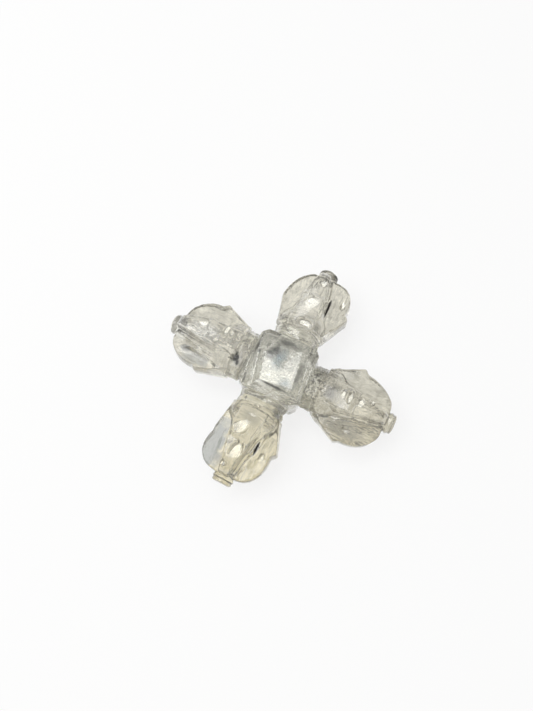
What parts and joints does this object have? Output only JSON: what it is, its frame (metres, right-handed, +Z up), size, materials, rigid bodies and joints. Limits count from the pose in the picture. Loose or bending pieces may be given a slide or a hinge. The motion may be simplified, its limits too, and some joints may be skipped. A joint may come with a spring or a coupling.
{
  "type": "crossed dorje",
  "caption": "Crossed dorje of clear carved rock crystal: a square table-cut hub with a pronged, notched vajra head and a small barrel finial on each of its sides.",
  "frame": {"origin": "on the resting surface, under the middle of the hub", "axes": "+Z up, square to the plane of the cross; +X along the east arm and +Y along the north arm"},
  "size_m": [0.0554, 0.0554, 0.0148],
  "materials": {
    "polished_crystal": "hand polished clear rock crystal, faintly icy",
    "satin_crystal": "half polished rock crystal with fine wheel marks",
    "ground_crystal": "ground, lightly frosted rock crystal",
    "inner_crystal": "clear rock crystal inside the head"
  },
  "bodies": {
    "root": {"hub": "polished_crystal", "east_neck": "ground_crystal", "east_base": "satin_crystal", "east_core": "inner_crystal", "east_finial": "polished_crystal", "east_top_prong": "polished_crystal", "east_right_prong": "polished_crystal", "east_bottom_prong": "polished_crystal", "east_left_prong": "polished_crystal", "north_neck": "ground_crystal", "north_base": "satin_crystal", "north_core": "inner_crystal", "north_finial": "polished_crystal", "north_top_prong": "polished_crystal", "north_right_prong": "polished_crystal", "north_bottom_prong": "polished_crystal", "north_left_prong": "polished_crystal", "west_neck": "ground_crystal", "west_base": "satin_crystal", "west_core": "inner_crystal", "west_finial": "polished_crystal", "west_top_prong": "polished_crystal", "west_right_prong": "polished_crystal", "west_bottom_prong": "polished_crystal", "west_left_prong": "polished_crystal", "south_neck": "ground_crystal", "south_base": "satin_crystal", "south_core": "inner_crystal", "south_finial": "polished_crystal", "south_top_prong": "polished_crystal", "south_right_prong": "polished_crystal", "south_bottom_prong": "polished_crystal", "south_left_prong": "polished_crystal"}
  },
  "joints": []
}
